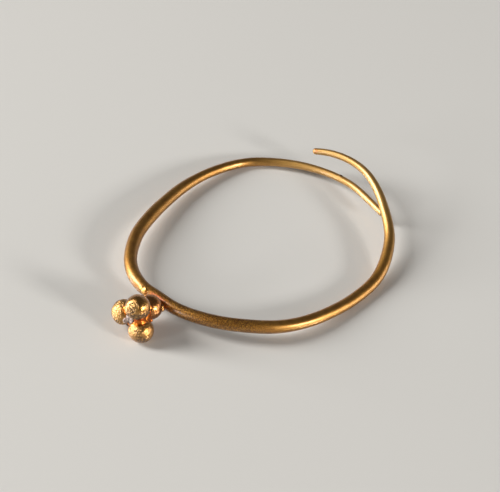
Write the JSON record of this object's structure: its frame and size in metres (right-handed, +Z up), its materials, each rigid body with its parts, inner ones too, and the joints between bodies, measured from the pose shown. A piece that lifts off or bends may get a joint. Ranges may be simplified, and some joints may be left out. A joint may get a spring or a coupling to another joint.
{
  "type": "hoop earring",
  "caption": "Open gold wire hoop whose thin ends pass each other, with a pyramid of soldered granules on its outer side.",
  "frame": {"origin": "under the middle of the part's box, on the surface that the earring lies on", "axes": "+Z up from the surface, square to the hoop; +Y along the longest extent, away from the granules; +X towards the overlapping ends"},
  "size_m": [0.022, 0.0222, 0.004],
  "materials": {
    "wire_gold": "satin gold wire, forged and worn, with long burnished highlights",
    "granule_gold": "bright gold with a finely wrinkled and pitted skin",
    "solder": "coppery gold solder, smooth and flooded",
    "residue": "matt grey and lilac burial crust"
  },
  "bodies": {
    "root": {"hoop_wire": "wire_gold", "granule_inner": "granule_gold", "granule_upper": "granule_gold", "granule_outer": "granule_gold", "granule_lower": "granule_gold", "solder_collar_inner_upper": "solder", "solder_collar_inner_outer": "solder", "solder_collar_inner_lower": "solder", "solder_collar_upper_outer": "solder", "solder_collar_upper_lower": "solder", "solder_collar_outer_lower": "solder", "solder_saddle": "solder", "solder_blob": "solder", "solder_pool": "solder", "solder_bead": "solder", "crevice_bead": "solder", "residue_crust": "residue"}
  },
  "joints": []
}
